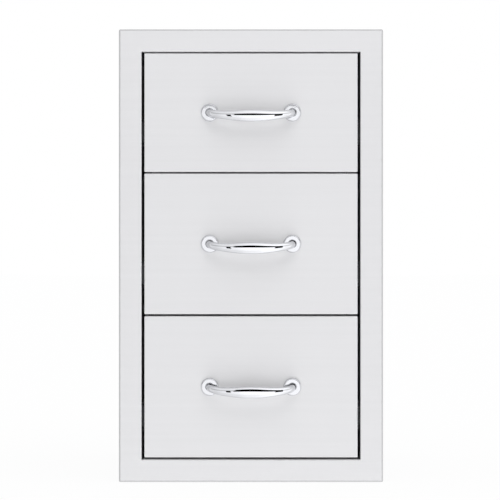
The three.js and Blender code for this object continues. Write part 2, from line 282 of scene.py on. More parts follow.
def bends(tree):
    """How far the surface faces between two axes, which it does only on bends: 0 on flats to 1."""
    facing = add(tree, "ShaderNodeNewGeometry").outputs["Normal"]
    plain = add(tree, "ShaderNodeVectorMath", {0: facing}, operation="ABSOLUTE").outputs[0]
    parts = split(tree, plain)
    most = maths(tree, "MAXIMUM", parts["X"], parts["Y"])
    most = maths(tree, "MAXIMUM", most, parts["Z"])
    nearly_flat, well_turned = 0.88, 0.76
    return mapped(tree, most, nearly_flat, well_turned, 0.0, 1.0)


def bumped(tree, height, depth, strength):
    """Small relief of a depth in millimetres."""
    sockets = {"Height": height, "Distance": depth * MM, "Strength": strength}
    return add(tree, "ShaderNodeBump", sockets).outputs[0]


def surfaced(material, sockets):
    """Ends a material's nodes in a Principled shader."""
    tree = material.node_tree
    shader = add(tree, "ShaderNodeBsdfPrincipled", sockets)
    add(tree, "ShaderNodeOutputMaterial", {"Surface": shader.outputs["BSDF"]})
    return material


def blank(name):
    """A new material without nodes."""
    material = bpy.data.materials.new(name)
    material.use_nodes = True
    material.node_tree.nodes.clear()
    return material, material.node_tree


# Finishes

def begun(name):
    """A new material with its grain."""
    material, tree = blank(name)
    return material, tree, grain(tree)


def brushed_stainless(colours):
    """Stainless steel ground along its width: a fine level grain with long faint streaks, a shade darker
    on the bends, which the belt misses, and more so on the face frame's unground outer ones."""
    material, tree, way = begun("brushed_stainless")
    # Real grit lines are about 0.1 mm; these are 0.7 mm wide, so that some show
    fine = streaks(tree, way, length=120, width=0.7)
    broad = streaks(tree, way, length=1200, width=8, detail=2)
    ground = tinted(tree, colours.brushed, 0.007, broad)
    # Painted shade: the bends darker, and the face frame's outer bends darker still
    bend_shade_share, outer_bend_shade_share = 0.76, 0.8
    bend_shade_colour = [*(bend_shade_share * c for c in colours.brushed), 1]
    folded = blended(tree, bends(tree), ground, bend_shade_colour)
    outer_bend_shade = add(tree, "ShaderNodeAttribute", attribute_name=OUTER_BEND_SHADE).outputs["Fac"]
    shade = blended(tree, outer_bend_shade, folded, [*[outer_bend_shade_share] * 3, 1], how="MULTIPLY")
    return surfaced(material, {
        "Base Color": shade,
        "Metallic": 1.0,
        "Roughness": ranged(tree, fine, 0.44, 0.52),
        "Anisotropic": 0.75,
        "Tangent": up_and_back(tree),
        "Normal": bumped(tree, fine, depth=0.02, strength=0.25),
    })


def mill_stainless(colours):
    """Cold-rolled stainless sheet as it leaves the mill: dull silver with faint roll lines and long,
    slightly darker passes."""
    material, tree, way = begun("mill_stainless")
    passes = streaks(tree, way, length=4000, width=18)
    cloud = streaks(tree, way, length=160, width=60)
    # Real roll lines are about 0.2 mm apart; these are 1.2 mm, so that some show
    lines = streaks(tree, way, length=900, width=1.2)
    return surfaced(material, {
        "Base Color": tinted(tree, colours.mill, 0.022, passes),
        "Metallic": 1.0,
        "Roughness": ranged(tree, cloud, 0.26, 0.32),
        "Anisotropic": 0.3,
        "Tangent": up_and_back(tree),
        "Normal": bumped(tree, lines, depth=0.02, strength=0.25),
    })


def heat_tinted_stainless(colours):
    """Stainless steel where a spot weld has heated and pressed it: duller, with a straw tint."""
    material, tree, way = begun("heat_tinted_stainless")
    blotch = streaks(tree, way, length=3, width=3)
    return surfaced(material, {
        "Base Color": tinted(tree, colours.tint, 0.12, blotch),
        "Metallic": 1.0,
        "Roughness": ranged(tree, blotch, 0.38, 0.5),
        "Normal": bumped(tree, blotch, depth=0.04, strength=0.4),
    })


def painted_facing_shade(tree, colour, plain, start, end, share):
    """Lets a colour fall to a share of its plain form as the surface's normal along Y goes from start
    to end."""
    facing = add(tree, "ShaderNodeTexCoord").outputs["Normal"]
    factor = mapped(tree, split(tree, facing)["Y"], start, end, 0.0, 1.0)
    return blended(tree, factor, colour, [*(share * c for c in plain), 1])


def zinc_plate(colours):
    """Bright zinc on rolled steel: cool grey with a satin sheen and slightly blotchy. The sheared front
    ends carry little zinc and have gone dark."""
    material, tree, way = begun("zinc_plate")
    blotch = streaks(tree, way, length=34, width=16)
    drawn = streaks(tree, way, length=300, width=1, detail=2)
    zinc = tinted(tree, colours.zinc, 0.04, blotch)
    return surfaced(material, {
        # Painted shade on faces turned to the front
        "Base Color": painted_facing_shade(tree, zinc, colours.zinc, start=-0.6, end=-0.9, share=0.15),
        "Metallic": 1.0,
        "Roughness": ranged(tree, blotch, 0.24, 0.34),
        "Normal": bumped(tree, drawn, depth=0.02, strength=0.25),
    })


def polished_chrome(colours):
    """Chrome plate on a buffed casting: nearly a mirror, with the slow wave that buffing leaves. Its back
    faces its seat, where the buff doesn't reach, and stays dark."""
    material, tree, way = begun("polished_chrome")
    wave = streaks(tree, way, length=22, width=15, detail=1)
    haze = streaks(tree, way, length=6, width=5)
    chrome = tinted(tree, colours.chrome, 0.008, haze)
    return surfaced(material, {
        # Painted shade on the bow's back
        "Base Color": painted_facing_shade(tree, chrome, colours.chrome, start=0.1, end=0.6, share=0.3),
        "Metallic": 1.0,
        "Roughness": ranged(tree, haze, 0.04, 0.08),
        "Normal": bumped(tree, wave, depth=0.05, strength=0.3),
    })


def plated_disc(colours):
    """Chrome plate on a stamped disc: as smooth as the buffed bows, but a little greyer."""
    material, tree, way = begun("plated_disc")
    haze = streaks(tree, way, length=5, width=5)
    return surfaced(material, {
        "Base Color": tinted(tree, colours.disc, 0.008, haze),
        "Metallic": 1.0,
        "Roughness": ranged(tree, haze, 0.04, 0.08),
    })


def moulded_rubber(colours):
    """Moulded black rubber: matt, with the fine pebble of its mould."""
    material, tree, way = begun("moulded_rubber")
    pebble = streaks(tree, way, length=0.8, width=0.8)
    return surfaced(material, {
        "Base Color": tinted(tree, colours.rubber, 0.2, pebble),
        "Roughness": ranged(tree, pebble, 0.68, 0.84),
        "Normal": bumped(tree, pebble, depth=0.1, strength=0.4),
    })


FINISHES = {
    "brushed_stainless": brushed_stainless,
    "sheet_stainless": mill_stainless,
    "heat_tinted_stainless": heat_tinted_stainless,
    "zinc_plated_steel": zinc_plate,
    "polished_chrome": polished_chrome,
    "plated_disc": plated_disc,
    "black_rubber": moulded_rubber,
}
made = {}


def finish(look):
    """One of the finishes, made once; the frame has plain materials of the same names."""
    if look not in made:
        made[look] = FINISHES[look](bpy.context.scene.unit_colours)
    return made[look]


# Mesh tools

def outwards(bm):
    """Turns the faces of a closed mesh outwards, or makes those of an open one agree."""
    bmesh.ops.recalc_face_normals(bm, faces=bm.faces)


def only(kind, geom):
    """The elements of one kind."""
    return [element for element in geom if isinstance(element, kind)]


def turned_to(bm, facing):
    """Makes the faces of an open sheet agree, with the largest one facing the given way."""
    bmesh.ops.remove_doubles(bm, verts=bm.verts, dist=10 * SAME_POINT)
    outwards(bm)
    largest = max(bm.faces, key=lambda face: face.calc_area())
    if largest.normal.dot(Vector(facing)) < 0:
        bmesh.ops.reverse_faces(bm, faces=bm.faces)
    bm.normal_update()


def folds(bm, among=lambda middle: True):
    """The edges where a sheet folds squarely, at places that pass a test."""
    return [
        edge for edge in bm.edges
        if len(edge.link_faces) == 2
        and edge.calc_face_angle() > FOLD_ANGLE
        and among((edge.verts[0].co + edge.verts[1].co) / 2)
    ]


def bend(bm, edges, radius, segments=5):
    """Rounds the folds of a sheet and returns the round faces."""
    return bmesh.ops.bevel(
        bm, geom=edges, affect="EDGES", offset=radius, offset_type="OFFSET", segments=segments, profile=0.5,
        material=-1, clamp_overlap=True,
    )["faces"]


def pulled(bm, edges, step):
    """Extrudes edges by a step and returns the new edges."""
    new = bmesh.ops.extrude_edge_only(bm, edges=edges)["geom"]
    bmesh.ops.translate(bm, verts=only(bmesh.types.BMVert, new), vec=step)
    return only(bmesh.types.BMEdge, new)


def upright_outline(bm, half, low, high, y):
    """The four edges of an upright rectangle across the unit."""
    corners = [bm.verts.new((x, y, z)) for x, z in ((-half, low), (half, low), (half, high), (-half, high))]
    return [bm.edges.new((corners[i - 1], corners[i])) for i in range(len(corners))]


def pan(node, ahead, radius, sheet):
    """A folded plate across the unit, ahead of or behind the flanges that go all round it."""
    low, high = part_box(node)
    plate, rim = (low.y, high.y) if ahead else (high.y, low.y)
    bm = bmesh.new()
    edges = upright_outline(bm, high.x, low.z, high.z, plate)
    bmesh.ops.edgeloop_fill(bm, edges=edges)
    pulled(bm, edges, (0, rim - plate, 0))
    turned_to(bm, (0, plate - rim, 0))
    bend(bm, folds(bm), radius)
    return thickened(bm, sheet)


def rolled(points, step, facing):
    """A sheet whose section runs through the points and which is as long as the step."""
    bm = bmesh.new()
    verts = [bm.verts.new(p) for p in points]
    pulled(bm, [bm.edges.new(pair) for pair in zip(verts, verts[1:])], step)
    turned_to(bm, facing)
    return bm


def thickened(bm, sheet):
    """Gives an open sheet its thickness, behind its faces."""
    bm.normal_update()
    bmesh.ops.solidify(bm, geom=bm.faces, thickness=sheet)
    outwards(bm)
    return bm


def block(bm, low, high):
    """Adds a box between two corners."""
    low, high = Vector(low), Vector(high)
    place = Matrix.Translation((low + high) / 2) @ Matrix.Diagonal((*(high - low), 1))
    bmesh.ops.create_cube(bm, size=1, matrix=place)


def spun(points, centre, axis, steps):
    """Turns an outline of (radius, height) about an axis; it ends on the axis or is closed here."""
    bm = bmesh.new()
    axis = Vector(axis)
    out = axis.orthogonal().normalized()
    verts = [bm.verts.new(Vector(centre) + out * r + axis * h) for r, h in points]
    edges = [bm.edges.new(pair) for pair in zip(verts, verts[1:])]
    if points[0][0] > 0:
        edges.append(bm.edges.new((verts[-1], verts[0])))
    bmesh.ops.spin(
        bm, geom=verts + edges, cent=centre, axis=axis, angle=2 * math.pi, steps=steps, use_merge=True,
        use_duplicate=False,
    )
    bmesh.ops.remove_doubles(bm, verts=bm.verts, dist=SAME_POINT)
    bmesh.ops.dissolve_degenerate(bm, dist=SAME_POINT, edges=bm.edges)
    outwards(bm)
    return bm


def arc(centre_r, centre_h, radius_r, radius_h, start, end, steps):
    """Points of an elliptical arc in an outline, between two angles in degrees."""
    angles = [math.radians(start + (end - start) * i / steps) for i in range(steps + 1)]
    return [(centre_r + radius_r * math.cos(a), centre_h + radius_h * math.sin(a)) for a in angles]


def placed(name, bm, crease=36):
    """An object from a bmesh, smooth but at folds sharper than the crease."""
    bm.normal_update()
    for face in bm.faces:
        face.smooth = True
    for edge in bm.edges:
        edge.smooth = len(edge.link_faces) == 2 and edge.calc_face_angle() < math.radians(crease)
    mesh = bpy.data.meshes.new(name)
    bm.to_mesh(mesh)
    bm.free()
    piece = bpy.data.objects.new(name, mesh)
    bpy.context.scene.collection.objects.link(piece)
    return piece


def punched(bm, cutter):
    """A closed mesh with the shapes of a cutter taken out of it."""
    blank_piece, tool = placed("punched_blank", bm), placed("punch", cutter)
    cut = blank_piece.modifiers.new("punch", "BOOLEAN")
    cut.operation = "DIFFERENCE"
    cut.solver = "EXACT"
    cut.use_self = True
    cut.object = tool
    result = bmesh.new()
    evaluated = blank_piece.evaluated_get(bpy.context.evaluated_depsgraph_get())
    result.from_mesh(evaluated.to_mesh())
    evaluated.to_mesh_clear()
    for spare in (blank_piece, tool):
        mesh = spare.data
        bpy.data.objects.remove(spare)
        bpy.data.meshes.remove(mesh)
    bmesh.ops.remove_doubles(result, verts=result.verts, dist=SAME_POINT)
    return result


def holed(sheet, places, reach, radius, segments=32):
    """A closed sheet with a round hole at each place, cut as far as the reach both ways."""
    bars = bmesh.new()
    turn = reach.to_track_quat("Z", "Y").to_matrix().to_4x4()
    for place in places:
        bmesh.ops.create_cone(
            bars, cap_ends=True, segments=segments, radius1=radius, radius2=radius, depth=2 * reach.length,
            matrix=Matrix.Translation(place) @ turn,
        )
    return punched(sheet, bars)


def fit(name, bm, body, slot, *nodes, look=None):
    """Makes a piece with its finish, on its body, in the place of its CAD nodes."""
    piece = placed(name, bm)
    piece.modifiers.new("even shading", "WEIGHTED_NORMAL").keep_sharp = True
    piece.data.materials.append(finish(look or slot))
    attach(piece, body)
    if nodes:
        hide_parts(*nodes)


def fit_sheet(node, bm, body, slot="sheet_stainless"):
    """Makes the folded sheet that stands for one CAD node."""
    fit(f"{node}_sheet", bm, body, slot, node)


def feet(drawer):
    """The centres of the handle's feet, where they meet the front."""
    low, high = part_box(f"{drawer}_front_skin")
    sizes = bpy.context.scene.unit_handle
    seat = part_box(f"{drawer}_handle")[1].y
    level = (low.z + high.z) / 2
    return {side: Vector((sign * sizes.centres / 2, seat, level)) for side, sign in SIDES.items()}


def gather(bm, part):
    """Adds a small part's mesh to a piece that holds many."""
    mesh = bpy.data.meshes.new("part")
    part.to_mesh(mesh)
    part.free()
    bm.from_mesh(mesh)
    bpy.data.meshes.remove(mesh)


def rivet(bm, seat, out, sizes):
    """Adds a rivet's low domed head on a seat."""
    shank = -sizes.rivet_height / 2
    head = arc(0, 0, sizes.rivet_head, sizes.rivet_height, start=0, end=90, steps=5)
    gather(bm, spun([(0, shank), (sizes.rivet_head, shank), *head], seat, out, steps=20))


def rivet_rows(node, sizes):
    """Depths of a slide's rivets."""
    low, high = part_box(node)
    count = int((high.y - low.y - sizes.first_rivet) // sizes.rivet_pitch) + 1
    return [low.y + sizes.first_rivet + i * sizes.rivet_pitch for i in range(count)]


# Operators

class UNIT_OT_face_frame(bpy.types.Operator):
    """Folds the face frame with returns round its edge and its opening"""

    bl_idname = "unit.face_frame"
    bl_label = "Face frame"

    def execute(self, context):
        sizes = context.scene.unit_sheets
        low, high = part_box("face_frame")
        wall = low.y + sizes.frame_depth
        # Each ring has its share of the borders, its inset and its depth, from the lip to the opening
        rings = [(0, sizes.lip, wall), (0, 0, wall), (0, 0, low.y), (1, 0, low.y), (1, 0, high.y)]
        bm = bmesh.new()
        edges = None
        for border_share, inset, y in rings:
            half = high.x - border_share * sizes.side_border - inset
            end = border_share * sizes.end_border + inset
            if edges is None:
                edges = upright_outline(bm, half, low.z + end, high.z - end, y)
                continue
            edges = pulled(bm, edges, (0, 0, 0))
            for vert in {v for e in edges for v in e.verts}:
                level = low.z + end if vert.co.z < (low.z + high.z) / 2 else high.z - end
                vert.co = (math.copysign(half, vert.co.x), y, level)
        turned_to(bm, (0, -1, 0))
        outside = high.x - sizes.lip / 2
        end = sizes.lip / 2

        def at_edge(middle):
            return abs(middle.x) > outside or not low.z + end < middle.z < high.z - end

        # The outer bends are marked for extra painted shade in the brushed finish
        outer_bend_shade = bm.faces.layers.float.new(OUTER_BEND_SHADE)
        for face in bend(bm, folds(bm, at_edge), sizes.frame_bend):
            face[outer_bend_shade] = 1.0
        bend(bm, folds(bm), sizes.opening_bend)
        fit_sheet("face_frame", thickened(bm, sizes.frame_sheet), "cabinet", "brushed_stainless")
        return {"FINISHED"}


class UNIT_OT_front_skins(bpy.types.Operator):
    """Folds the skins of the drawer fronts, with the holes under the handle's feet"""

    bl_idname = "unit.front_skins"
    bl_label = "Front skins"

    def execute(self, context):
        sizes, handle = context.scene.unit_sheets, context.scene.unit_handle
        for drawer in DRAWERS:
            node = f"{drawer}_front_skin"
            skin = pan(node, ahead=True, radius=sizes.front_bend, sheet=sizes.front_sheet)
            skin = holed(skin, feet(drawer).values(), PUNCH_BACK, handle.screw + handle.collar_gap)
            fit_sheet(node, skin, f"{drawer}_drawer", "brushed_stainless")
        return {"FINISHED"}


class UNIT_OT_front_liners(bpy.types.Operator):
    """Folds the liners behind the drawer fronts, with their screwdriver holes"""

    bl_idname = "unit.front_liners"
    bl_label = "Front liners"

    def execute(self, context):
        sizes = context.scene.unit_sheets
        for drawer in DRAWERS:
            node = f"{drawer}_front_liner"
            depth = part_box(node)[1].y
            places = [Vector((foot.x, depth, foot.z)) for foot in feet(drawer).values()]
            liner = pan(node, ahead=False, radius=sizes.box_bend, sheet=sizes.box_sheet)
            liner = holed(liner, places, PUNCH_BACK, sizes.access_hole, segments=48)
            fit_sheet(node, liner, f"{drawer}_drawer")
        return {"FINISHED"}


class UNIT_OT_box_tubs(bpy.types.Operator):
    """Folds the drawer tubs: floor, front wall, and sides with rims turned out"""

    bl_idname = "unit.box_tubs"
    bl_label = "Box tubs"

    def execute(self, context):
        sizes = context.scene.unit_sheets
        for drawer in DRAWERS:
            node = f"{drawer}_box_tub"
            low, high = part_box(node)
            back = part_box(f"{drawer}_box_back")[1]
            sheet = sizes.box_sheet
            half = high.x - sizes.rim
            corners = [(-half, back.y), (-half, low.y), (half, low.y), (half, back.y)]
            bm = bmesh.new()
            verts = [bm.verts.new((x, y, low.z)) for x, y in corners]
            bm.faces.new(verts)
            edges = [bm.edges.get(pair) for pair in zip(verts, verts[1:])]
            pulled(bm, edges, (0, 0, high.z - sheet - low.z))
            relief = low.y + 2 * sizes.box_bend
            everything = list(bm.verts) + list(bm.edges) + list(bm.faces)
            bmesh.ops.bisect_plane(bm, geom=everything, plane_co=(0, relief, 0), plane_no=(0, 1, 0))
            for sign in SIDES.values():
                rim = [
                    e for e in bm.edges
                    if all(v.co.z > high.z - 2 * sheet and v.co.y > relief - sheet for v in e.verts)
                    and all(sign * v.co.x > half - sheet for v in e.verts)
                ]
                pulled(bm, rim, (sign * sizes.rim, 0, 0))
            turned_to(bm, (0, 0, -1))
            bend(bm, folds(bm, lambda middle: middle.z > high.z - 2 * sheet), sizes.box_bend - sheet)
            bend(bm, folds(bm), sizes.box_bend)
            fit_sheet(node, thickened(bm, sheet), f"{drawer}_drawer")
        return {"FINISHED"}


class UNIT_OT_box_backs(bpy.types.Operator):
    """Folds the backs of the drawer boxes"""

    bl_idname = "unit.box_backs"
    bl_label = "Box backs"

    def execute(self, context):
        sizes = context.scene.unit_sheets
        for drawer in DRAWERS:
            node = f"{drawer}_box_back"
            back = pan(node, ahead=True, radius=sizes.box_bend, sheet=sizes.box_sheet)
            fit_sheet(node, back, f"{drawer}_drawer")
        return {"FINISHED"}


class UNIT_OT_cabinet(bpy.types.Operator):
    """Folds the cabinet's sides, roof, floor and back"""

    bl_idname = "unit.cabinet"
    bl_label = "Cabinet"

    def execute(self, context):
        sizes = context.scene.unit_sheets
        self.back(sizes)
        for side, sign in SIDES.items():
            self.side(sizes, side, sign)
        self.deck(sizes, "cabinet_bottom", 1)
        self.deck(sizes, "cabinet_top", -1)
        self.welds(sizes)
        return {"FINISHED"}

    def back(self, sizes):
        node = "cabinet_back"
        panel = pan(node, ahead=False, radius=sizes.cabinet_bend, sheet=sizes.cabinet_sheet)
        fit_sheet(node, panel, "cabinet")

    def side(self, sizes, side, sign):
        node = f"cabinet_{side}_side"
        low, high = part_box(node)
        near, far = sorted((low.x, high.x), key=abs)
        points = [(near, high.y, low.z), (far, high.y, low.z), (far, low.y, low.z)]
        bm = rolled(points, (0, 0, high.z - low.z), (sign, 0, 0))
        bend(bm, folds(bm), sizes.cabinet_bend)
        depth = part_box("face_frame")[1].y + sizes.fixing_setback
        edge = sizes.cabinet_sheet + sizes.fixing_edge
        gaps = [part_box(f"{drawer}_front_skin")[0].z for drawer in ("middle", "top")]
        places = [Vector((far, depth, level)) for level in (low.z + edge, *gaps, high.z - edge)]
        panel = holed(thickened(bm, sizes.cabinet_sheet), places, sign * PUNCH_ACROSS, sizes.fixing_hole)
        fit_sheet(node, panel, "cabinet")

    def deck(self, sizes, node, inward):
        low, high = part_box(node)
        flat, edge = (low.z, high.z) if inward > 0 else (high.z, low.z)
        points = [(x, low.y, z) for x, z in ((low.x, edge), (low.x, flat), (high.x, flat), (high.x, edge))]
        bm = rolled(points, (0, high.y - low.y, 0), (0, 0, -inward))
        bend(bm, folds(bm), sizes.cabinet_bend)
        notches = bmesh.new()
        inset = sizes.cabinet_bend
        front_end = (low.y - inset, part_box("face_frame")[1].y + sizes.notch_gap)
        back_end = (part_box("cabinet_back")[0].y - sizes.notch_gap, high.y + inset)
        for sign in SIDES.values():
            for start, end in (front_end, back_end):
                inner, outer = sorted((sign * (high.x - inset), sign * (high.x + inset)))
                bottom, top = sorted((flat + inward * sizes.cabinet_sheet, edge + inward * inset))
                block(notches, (inner, start, bottom), (outer, end, top))
        panel = punched(thickened(bm, sizes.cabinet_sheet), notches)
        fit_sheet(node, panel, "cabinet")

    def welds(self, sizes):
        """The dished marks that the electrodes leave where roof and floor are welded to the sides."""
        radius, height = sizes.weld, sizes.weld_depth
        root = -2 * height
        rim_share, dish_share, floor_share = 0.2, 0.5, 0.3
        outline = [(0, root), (radius, root)]
        outline += arc((1 - rim_share) * radius, 0, rim_share * radius, height, start=0, end=90, steps=3)
        outline += [(dish_share * radius, floor_share * height), (0, floor_share * height)]
        marks = bmesh.new()
        for side, sign in SIDES.items():
            low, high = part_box(f"cabinet_{side}_side")
            wall = max(abs(low.x), abs(high.x))
            count = int((high.y - low.y - sizes.fixing_edge) // sizes.weld_pitch)
            for level in (low.z + sizes.weld_flange / 2, high.z - sizes.weld_flange / 2):
                for i in range(count):
                    depth = high.y - sizes.fixing_edge - i * sizes.weld_pitch
                    gather(marks, spun(outline, (sign * wall, depth, level), (sign, 0, 0), steps=16))
        fit("cabinet_spot_welds", marks, "cabinet", "sheet_stainless", look="heat_tinted_stainless")


class UNIT_OT_slides(bpy.types.Operator):
    """Rolls the members of the telescopic slides, with their punched webs and rubber stops"""

    bl_idname = "unit.slides"
    bl_label = "Slides"

    def execute(self, context):
        sizes = context.scene.unit_slides
        for drawer in DRAWERS:
            for side, sign in SIDES.items():
                bodies = ("cabinet", f"{drawer}_slide_middles", f"{drawer}_drawer")
                for member, body in zip(("outer", "middle", "inner"), bodies):
                    node = f"{drawer}_{side}_slide_{member}"
                    channel = self.member(sizes, node, sign, member)
                    fit(f"{node}_channel", channel, body, "zinc_plated_steel", node)
                node = f"{drawer}_{side}_slide_stop"
                bm = bmesh.new()
                block(bm, *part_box(node))
                bend(bm, list(bm.edges), sizes.buffer_edge, segments=4)
                fit(f"{node}_block", bm, "cabinet", "black_rubber", node)
        return {"FINISHED"}

    def member(self, sizes, node, sign, member):
        low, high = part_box(node)
        near, far = sorted((low.x, high.x), key=abs)
        web, tip = (near, far) if member == "inner" else (far, near)
        middle = (low.z + high.z) / 2
        half = (high.z - low.z) / 2
        outline = [(tip, half), (web, half), (web, -half), (tip, -half)]
        if member != "inner":
            lip = half - sizes.sheet - sizes.lip
            outline = [(tip, lip), *outline, (tip, -lip)]
        points = [(x, low.y, middle + z) for x, z in outline]
        facing = (-sign if member == "inner" else sign, 0, 0)
        bm = rolled(points, (0, high.y - low.y, 0), facing)
        bend(bm, folds(bm), sizes.bend, segments=6)
        past_rivet = sizes.rivet_pitch / 4
        length = 4 * sizes.slot
        starts = [y + past_rivet for y in rivet_rows(node, sizes)]
        places = [Vector((web, y, middle)) for start in starts for y in (start, start + length)]
        reach = Vector((2 * sizes.sheet, 0, 0))
        return holed(thickened(bm, sizes.sheet), places, reach, sizes.slot, segments=20)


class UNIT_OT_handles(bpy.types.Operator):
    """Sweeps the bow handles along their line and swells them towards the middle"""

    bl_idname = "unit.handles"
    bl_label = "Handles"

    def execute(self, context):
        sizes = context.scene.unit_handle
        for drawer in DRAWERS:
            seats = feet(drawer)
            middle = (seats["left"] + seats["right"]) / 2
            bow = self.bow(sizes, middle)
            fit(f"{drawer}_handle_bow", bow, f"{drawer}_drawer", "polished_chrome", f"{drawer}_handle")
        return {"FINISHED"}

    def centre(self, sizes, share):
        """A point of the bow's centre line, from 0 at the left foot to 1 at the right one."""
        half = sizes.centres / 2
        along, out = math.cos(math.pi * share), math.sin(math.pi * share)
        across = -math.copysign(abs(along) ** (2 / sizes.bow_exponent), along) * half
        out = max(out, 0) ** (2 / sizes.bow_exponent)
        return Vector((
            across,
            -sizes.straight - (sizes.reach - sizes.straight) * out,
            -sizes.droop * out ** sizes.droop_exponent,
        ))

    def stations(self, sizes):
        """Evenly spaced points along the feet and the bow."""
        fineness = 20
        steps = fineness * sizes.stations
        line = [self.centre(sizes, i / steps) for i in range(steps + 1)]
        line = [Vector((line[0].x, 0, 0)), *line, Vector((line[-1].x, 0, 0))]
        lengths = [0.0]
        for a, b in zip(line, line[1:]):
            lengths.append(lengths[-1] + (b - a).length)
        found, j = [], 0
        for i in range(sizes.stations + 1):
            at = lengths[-1] * i / sizes.stations
            while j < len(line) - 2 and lengths[j + 1] < at:
                j += 1
            share = (at - lengths[j]) / (lengths[j + 1] - lengths[j])
            found.append(line[j].lerp(line[j + 1], min(1, share)))
        return found

    def place(self, sizes, before, point, after):
        """Where the unit ring goes at one station: its turn, its swell and its centre."""
        tangent = (after - before).normalized()
        up = Vector((0, 0, 1))
        up = (up - tangent * up.dot(tangent)).normalized()
        out = tangent.cross(up)
        swell = math.cos(math.pi * abs(point.x) / sizes.centres) ** 2
        thick = sizes.foot + (sizes.half_thickness - sizes.foot) * swell
        tall = sizes.foot + (sizes.half_height - sizes.foot) * swell
        turn = Matrix((out * thick, up * tall, tangent * MM)).transposed().to_4x4()
        return Matrix.Translation(point) @ turn

    def bow(self, sizes, middle):
        """The swept bow, with a hole for the screw in each foot."""
        bm = bmesh.new()
        ring = bmesh.ops.create_circle(bm, cap_ends=False, segments=sizes.segments, radius=1)["verts"]
        points = self.stations(sizes)
        ends = [points[0] + Vector((0, MM, 0)), *points, points[-1] + Vector((0, MM, 0))]
        places = [self.place(sizes, *ends[i:i + 3]) for i in range(len(points))]
        bmesh.ops.transform(bm, matrix=places[0], verts=ring)
        edges = list(bm.edges)
        rims = [edges]
        for last, new in zip(places, places[1:]):
            extruded = bmesh.ops.extrude_edge_only(bm, edges=edges)["geom"]
            bmesh.ops.transform(bm, matrix=new @ last.inverted(), verts=only(bmesh.types.BMVert, extruded))
            edges = only(bmesh.types.BMEdge, extruded)
        rims.append(edges)
        for rim in rims:
            face = bmesh.ops.edgeloop_fill(bm, edges=rim)["faces"]
            outwards(bm)
            bmesh.ops.inset_region(bm, faces=face, thickness=sizes.foot - sizes.screw - sizes.collar_gap)
            sunk = bmesh.ops.extrude_face_region(bm, geom=face)["geom"]
            bmesh.ops.delete(bm, geom=face, context="FACES_ONLY")
            bmesh.ops.translate(bm, verts=only(bmesh.types.BMVert, sunk), vec=(0, -sizes.screw_grip, 0))
        bmesh.ops.translate(bm, verts=bm.verts, vec=middle)
        outwards(bm)
        return bm


class UNIT_OT_rosettes(bpy.types.Operator):
    """Turns the rosettes under the handles' feet"""

    bl_idname = "unit.rosettes"
    bl_label = "Rosettes"

    def execute(self, context):
        sizes = context.scene.unit_handle
        bore = sizes.foot + sizes.collar_gap
        rim, height = sizes.rosette_rim, sizes.rosette_height
        outer, inner = sizes.rosette - sizes.rosette_round, bore + sizes.rosette_dip
        outline = [(bore, 0), (sizes.rosette, 0)]
        outline += arc(outer, rim, sizes.rosette_round, height - rim, start=0, end=90, steps=14)
        dip = sizes.rosette_dip
        outline += arc(inner, height - dip, -dip, dip, start=90, end=8, steps=8)
        for drawer in DRAWERS:
            for side, foot in feet(drawer).items():
                bm = spun(outline, foot, (0, -1, 0), steps=96)
                node = f"{drawer}_{side}_rosette"
                fit(f"{node}_ring", bm, f"{drawer}_drawer", "polished_chrome", node, look="plated_disc")
        return {"FINISHED"}


class UNIT_OT_handle_screws(bpy.types.Operator):
    """Turns the handle screws and cuts the cross in their heads"""

    bl_idname = "unit.handle_screws"
    bl_label = "Handle screws"

    def execute(self, context):
        sizes = context.scene.unit_handle
        head, height = sizes.screw_head, sizes.screw_head_height
        flat_share, arm_share, blade_share, depth_share = 0.45, 0.62, 0.14, 0.62
        flat, low_edge = flat_share * head, flat_share * height
        arm, blade, depth = arm_share * head, blade_share * head, depth_share * height
        for drawer in DRAWERS:
            for side in SIDES:
                node = f"{drawer}_{side}_handle_screw"
                low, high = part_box(node)
                middle = (low + high) / 2
                seat = Vector((middle.x, high.y - height, middle.z))
                tip = low.y - seat.y
                outline = [(0, tip), (sizes.screw, tip), (sizes.screw, 0), (head, 0)]
                outline += arc(flat, low_edge, head - flat, height - low_edge, start=0, end=90, steps=8)
                outline.append((0, height))
                cross = bmesh.new()
                top = Vector((seat.x, high.y, seat.z))
                for x, z in ((arm, blade), (blade, arm)):
                    corner = Vector((x, depth, z))
                    block(cross, top - corner, top + corner)
                screw = punched(spun(outline, seat, (0, 1, 0), steps=40), cross)
                fit(f"{node}_cross_head", screw, f"{drawer}_drawer", "zinc_plated_steel", node)
        return {"FINISHED"}


class UNIT_OT_rivets(bpy.types.Operator):
    """Sets the rivets that hold slides and fronts"""

    bl_idname = "unit.rivets"
    bl_label = "Rivets"

    def execute(self, context):
        sizes, sheets = context.scene.unit_slides, context.scene.unit_sheets
        across_shares, up_shares = (-0.8, 0.8), (0.2, 0.8)
        outer = bmesh.new()
        for drawer in DRAWERS:
            inner = bmesh.new()
            tub_low, tub_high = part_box(f"{drawer}_box_tub")
            inside = tub_high.x - sheets.rim - sheets.box_sheet
            for side, sign in SIDES.items():
                node = f"{drawer}_{side}_slide_outer"
                low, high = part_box(node)
                level = (low.z + high.z) / 2
                wall = max(abs(v.x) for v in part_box(f"cabinet_{side}_side"))
                for depth in rivet_rows(node, sizes):
                    rivet(outer, (sign * wall, depth, level), (sign, 0, 0), sizes)
                web = min(abs(v.x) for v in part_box(f"{drawer}_{side}_slide_inner"))
                for depth in rivet_rows(f"{drawer}_{side}_slide_inner", sizes):
                    rivet(inner, (sign * (web + sizes.sheet), depth, level), (sign, 0, 0), sizes)
                    rivet(inner, (sign * inside, depth, level), (-sign, 0, 0), sizes)
            wall = tub_low.y + sheets.box_sheet
            for across in across_shares:
                for up in up_shares:
                    place = (across * tub_high.x, wall, tub_low.z + up * (tub_high.z - tub_low.z))
                    rivet(inner, place, (0, 1, 0), sizes)
            fit(f"{drawer}_box_rivets", inner, f"{drawer}_drawer", "sheet_stainless")
        fit("cabinet_rivets", outer, "cabinet", "sheet_stainless")
        return {"FINISHED"}


